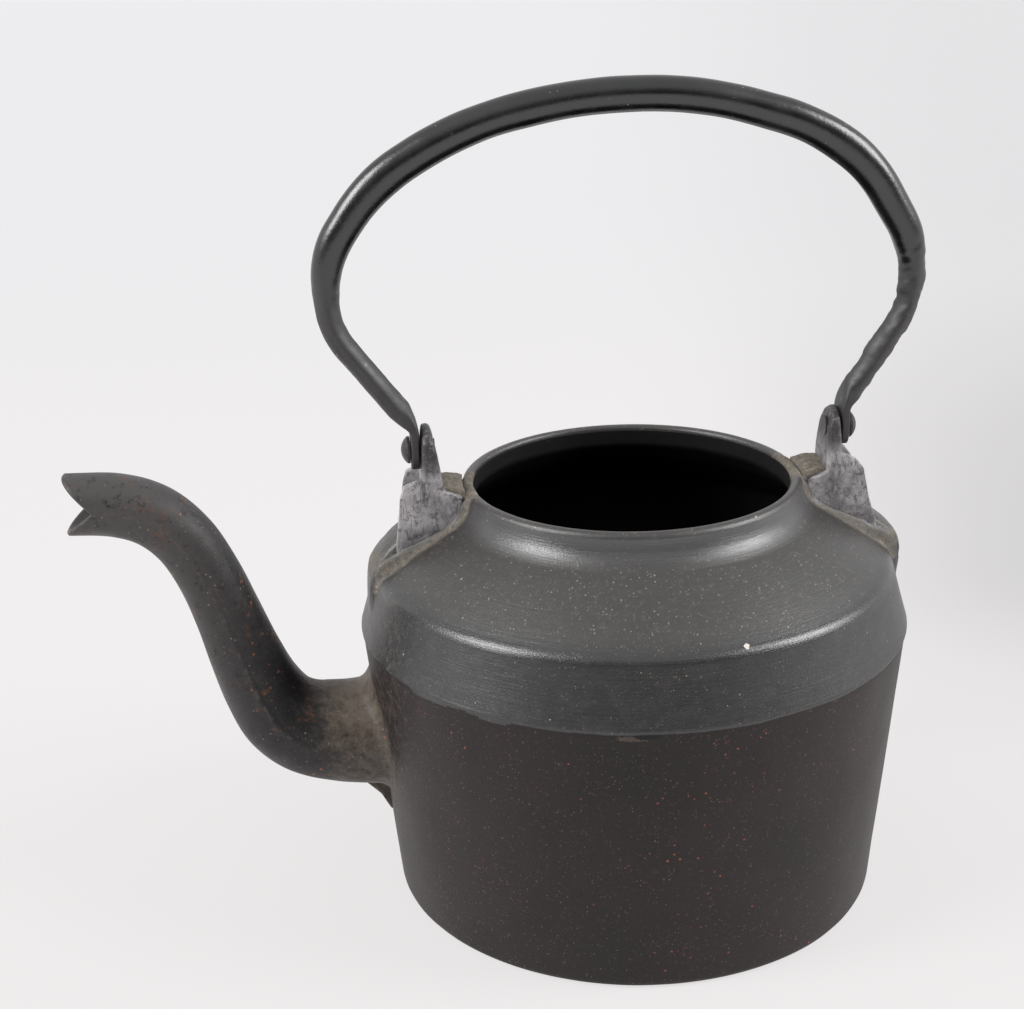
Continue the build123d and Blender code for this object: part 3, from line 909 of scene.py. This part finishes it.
def handle_material():
    """Glossy black on the grip, duller and browner in the legs."""
    n = Nodes("handle_iron")
    colour = n.clouded(40.0, 0.6, (0.0035, 0.0038, 0.0042), (0.0075, 0.0080, 0.0088))
    colour = n.stained(colour, n.noise(1100.0, 3.0, 0.7), 0.60, 0.80, 0.5, (0.060, 0.059, 0.057))
    colour = n.stained(colour, n.noise(330.0, 5.0, 0.8), 0.60, 0.72, 0.5, (0.045, 0.040, 0.037))
    colour = n.over(colour, specks(n, 700.0, 0.05, 0.24), 0.7, (0.35, 0.33, 0.30))
    leg = n.ramp(n.axis("Z"), 0.274, 0.248)
    brown = n.mix(n.ramp(n.noise(130.0, 5.0, 0.7), 0.35, 0.65), (0.0060, 0.0054, 0.0052),
                  (0.0165, 0.0140, 0.0130))
    brown = n.stained(brown, n.noise(700.0, 4.0, 0.8), 0.58, 0.72, 0.7, (0.080, 0.072, 0.064))
    brown = n.stained(brown, n.noise(120.0, 3.0, 0.6), 0.64, 0.71, 0.75, (0.17, 0.165, 0.165))
    colour = n.mix(leg, colour, brown)
    grain = n.noise(500.0, 5.0, 0.7)
    rough = n.patchy(80.0, 0.20, 0.31)
    rough = n.mix(leg, rough, n.patchy(110.0, 0.48, 0.62))
    return n.set(colour, rough, n.bump(grain, 0.00012, 0.8), specular=1.0)


def rivet_material():
    """Dark grey forged iron."""
    n = Nodes("rivet_iron")
    colour = n.clouded(200.0, 0.65, (0.022, 0.021, 0.022), (0.055, 0.050, 0.048))
    grain = n.noise(900.0, 4.0, 0.7)
    rough = n.patchy(300.0, 0.36, 0.55)
    return n.set(colour, rough, n.bump(grain, 0.00014, 0.8))


def paint(obj, name, value):
    """Stores value(point in mm, normal) on every vertex, for a material to read."""
    layer = obj.data.attributes.new(name, "FLOAT", "POINT")
    layer.data.foreach_set("value", [float(value(v.co / MM, v.normal)) for v in obj.data.vertices])


def on_inner_skin(p, normal):
    """Whether a face of the shell looks inwards."""
    radius = math.hypot(p.x, p.y)
    outward = (normal.x * p.x + normal.y * p.y) / max(radius, 1.0)
    floor_inside = 2.0 < p.z < 12.0 and normal.z > 0.5
    return (outward < -0.15 and p.z < RIM_Z - 2.4 and radius < MOUTH_R + 45) or floor_inside


def share_out(body):
    """Gives the shell's faces their three kinds of iron."""
    body.data.materials.clear()
    for material in (shoulder_material(), wall_material(), inside_material()):
        body.data.materials.append(material)
    for face in body.data.polygons:
        p = face.center / MM
        if on_inner_skin(p, face.normal):
            face.material_index = 2
        else:
            outside_seam = math.hypot(p.x, p.y) > WALL_TOP_R - 0.02 and p.z > SEAM_Z - 2
            face.material_index = 0 if p.z > SEAM_Z + 1.5 or outside_seam else 1


def spout_dust(p, normal):
    """Dust and rust bloom on the root, thinning out along the spout."""
    return 0.62 * float(smooth(-154.0, -120.0, p.x)) * (0.65 + 0.35 * max(0.0, normal.z))


def spout_ridge(p, normal):
    """The parting line along both sides."""
    return float(smooth(0.972, 0.992, abs(normal.y))) * float(smooth(-128.0, -140.0, p.x))


def body_wear_and_sheen(p, normal):
    """Polished by wear, and lightened as a painted highlight: the crease and the flare of the neck."""
    radius = math.hypot(p.x, p.y)
    crease = math.exp(-(((radius - CREASE_R + 0.4) ** 2 + (p.z - CREASE_Z) ** 2) / 2.6 ** 2))
    flare = 0.95 * float(smooth(168.0, 173.0, p.z)) * float(smooth(179.6, 178.0, p.z))
    flare *= float(smooth(15.0, 22.0, abs(p.y)))
    return max(crease, flare) if p.z > SEAM_Z else 0.0


def body_dust(p, normal):
    """Powdery tan dust: round the bosses, on the neck beside them and over the spout's root."""
    radius = math.hypot(p.x, p.y)
    across = abs(p.y)
    dust = 0.0
    if p.z > 140 and radius > MOUTH_R:
        beside = math.exp(-((across - 14.5) / 3.2) ** 2) if abs(p.x) > 60 else 0.0
        top = smooth(15.5, 12.0, across) * smooth(176.0, 180.0, p.z) * smooth(60.0, 66.0, abs(p.x))
        edge = smooth(17.0, 12.5, across) * math.exp(-((p.z - 150.0) / 7.5) ** 2) * smooth(98.0, 102.0, radius)
        dust = max(0.55 * beside, 0.8 * float(top), 0.48 * float(edge))
    if p.x < -80:
        root = math.hypot(p.y, p.z - SPOUT_ROOT_Z)
        dust = max(dust, 0.42 * float(smooth(44.0, 26.0, root)))
        dust = max(dust, 0.24 * float(smooth(-90.0, -104.0, p.x)) * float(smooth(25.0, 60.0, p.z)))
    return dust


def give(obj, material):
    """Makes this the object's only material."""
    obj.data.materials.clear()
    obj.data.materials.append(material)


# ======================================================================================
# stage: floor, lights, camera
# ======================================================================================
FLOOR_GLOW = 0.72
FLOOR_HALF = 60000.0
FLOOR_Z = -0.3
VIEW_AZIMUTH, VIEW_ELEVATION, VIEW_ROLL = -5.6, 20.06, 1.67
VIEW_DISTANCE = 0.753
VIEW_LENS = 63.03
AIM_RIGHT, AIM_UP = -0.050, 0.1685
# suns: name, bearing, height, width, strength
SUNS = [("left_box", -72.0, 34.0, 30.0, 2.0), ("right_box", 82.0, 30.0, 30.0, 2.0)]
# strength of the world's light in front, all round, from above, and as the camera sees it
FRONT_LIGHT, ROOM_LIGHT, OVERHEAD_LIGHT, SEEN_LIGHT = 0.06, 0.80, 0.70, 0.80


def floor():
    """A pale sheet that also glows a little, so that shadows on it stay light."""
    n = Nodes("paper")
    tone = n.noise(3.0, 2.0)
    n.set(n.mix(tone, (0.130, 0.125, 0.125), (0.136, 0.131, 0.131)), n.ramp(tone, 0.0, 1.0, 0.85, 0.9),
          specular=0.2)
    # painted shade in the floor's glow: a little dimmer far off, and on the right behind the object
    far = n.ramp(n.axis("Y"), 0.0, 1.6, 0.0, 1.0)
    fan = n.math("DIVIDE", n.axis("X"), n.math("ADD", n.math("ABSOLUTE", n.axis("Y")), 0.75))
    right = n.times(n.ramp(fan, 0.06, 0.34), n.ramp(n.axis("Y"), 0.04, 0.30))
    glow = n.mix(far, (0.972, 0.948, 0.950), (0.893, 0.893, 0.912))
    glow = n.mix(n.times(right, n.ramp(far, 0.0, 0.8, 0.72, 0.26)), glow, (0.50, 0.50, 0.505))
    n.link(glow, n.shader.inputs["Emission Color"])
    n.shader.inputs["Emission Strength"].default_value = FLOOR_GLOW
    corners = [(x * FLOOR_HALF, y * FLOOR_HALF, FLOOR_Z) for x, y in ((-1, -1), (1, -1), (1, 1), (-1, 1))]
    obj = make_object("floor", corners, [(0, 1, 2, 3)])
    give(obj, n.material)


def soft_sun(name, bearing, height, width, strength):
    """A wide far light. bearing is measured from the viewer's side, positive to the right."""
    data = bpy.data.lights.new(name, "SUN")
    data.angle = math.radians(width)
    data.energy = strength
    obj = bpy.data.objects.new(name, data)
    bpy.context.scene.collection.objects.link(obj)
    turn, rise = math.radians(bearing + VIEW_AZIMUTH), math.radians(height)
    toward = Vector((math.sin(turn) * math.cos(rise), -math.cos(turn) * math.cos(rise), math.sin(rise)))
    obj.rotation_mode = "QUATERNION"
    obj.rotation_quaternion = toward.to_track_quat("Z", "Y")


def lights():
    """Two big soft lights at the sides, a white room behind and above, and a dim one in front."""
    for sun in SUNS:
        soft_sun(*sun)
    world = bpy.data.worlds.new("studio")
    bpy.context.scene.world = world
    world.use_nodes = True
    tree = world.node_tree
    place = tree.nodes.new("ShaderNodeTexCoord")
    split = tree.nodes.new("ShaderNodeSeparateXYZ")
    tree.links.new(place.outputs["Generated"], split.inputs["Vector"])
    horizon = smooth_step(tree, split.outputs["Y"], -0.75, 0.1, FRONT_LIGHT, ROOM_LIGHT)
    lit = smooth_step(tree, split.outputs["Z"], 0.25, 0.8, horizon, OVERHEAD_LIGHT)
    # the camera sees a pale room, the iron reflects the one above
    seen = tree.nodes.new("ShaderNodeLightPath").outputs["Is Camera Ray"]
    brightness = smooth_step(tree, seen, 0.0, 1.0, lit, SEEN_LIGHT)
    background = tree.nodes["Background"]
    background.inputs["Color"].default_value = (0.98, 0.985, 1.0, 1.0)
    tree.links.new(brightness, background.inputs["Strength"])


def camera():
    """A little left of square on, looking down, rolled slightly clockwise."""
    azimuth, elevation, roll = (math.radians(a) for a in (VIEW_AZIMUTH, VIEW_ELEVATION, VIEW_ROLL))
    right = Vector((math.cos(azimuth), math.sin(azimuth), 0.0))
    level = Vector((-math.sin(azimuth), math.cos(azimuth), 0.0))
    forward = level * math.cos(elevation) - Vector((0, 0, math.sin(elevation)))
    up = right.cross(forward)
    aim = right * AIM_RIGHT + Vector((0, 0, AIM_UP))
    data = bpy.data.cameras.new("camera")
    data.lens = VIEW_LENS
    data.sensor_width = 36.0
    data.clip_start = 0.02
    obj = bpy.data.objects.new("camera", data)
    bpy.context.scene.collection.objects.link(obj)
    turned_right = right * math.cos(roll) - up * math.sin(roll)
    turned_up = right * math.sin(roll) + up * math.cos(roll)
    turn = Matrix((turned_right, turned_up, -forward)).transposed()
    obj.matrix_world = Matrix.Translation(aim - forward * VIEW_DISTANCE) @ turn.to_4x4()
    bpy.context.scene.camera = obj


# ======================================================================================
# assembly
# ======================================================================================
def soften(node, width):
    """Rounds a CAD part's edges for the picture, without changing its mesh."""
    flat = node.modifiers.new("flat", "DECIMATE")
    flat.decimate_type = "DISSOLVE"
    flat.angle_limit = math.radians(2.0)
    bevel = node.modifiers.new("bevel", "BEVEL")
    bevel.width = width * MM
    bevel.segments = 3
    bevel.limit_method = "ANGLE"
    bevel.angle_limit = math.radians(35.0)
    shade_smooth(node.data)


def main():
    scene = bpy.context.scene
    scene.view_settings.view_transform = "Standard"
    floor()
    lights()
    camera()
    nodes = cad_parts

    body = build_body()
    paint(body, "dust", body_dust)
    paint(body, "wear_and_sheen", body_wear_and_sheen)
    share_out(body)
    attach(body, "kettle")
    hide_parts("kettle_body")

    spout = build_spout()
    paint(spout, "dust", spout_dust)
    paint(spout, "ridge", spout_ridge)
    give(spout, spout_material())
    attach(spout, "kettle")
    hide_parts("spout")

    handle = build_handle()
    give(handle, handle_material())
    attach(handle, "bail")
    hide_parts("handle")

    ear_iron, rivet_iron = ear_material(), rivet_material()
    spout_cheek = [(71.4, 178.8), (79.6, 182.2), (80.6, 187.0), (88.5, 187.0), (95.4, 184.7), (96.9, 180.0),
                   (99.8, 157.0)]
    rear_cheek = [(73.0, 176.4), (75.0, 177.6), (81.8, 180.4), (82.6, 187.6), (88.5, 187.4), (93.3, 184.9),
                  (96.4, 181.0), (99.2, 167.7), (103.6, 153.2)]
    for name, node, details in (("spout_ear_casting", "spout_side_ear", (-1, 10.5, 2.4, spout_cheek, 2.0)),
                                ("rear_ear_casting", "rear_ear", (1, 8.6, 0.7, rear_cheek, 0.0))):
        ear = build_ear(name, *details)
        give(ear, ear_iron)
        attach(ear, "kettle")
        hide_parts(node)
    for name in ("spout_side_rivet", "rear_rivet"):
        give(nodes[name], rivet_iron)
        soften(nodes[name], 0.25)


main()
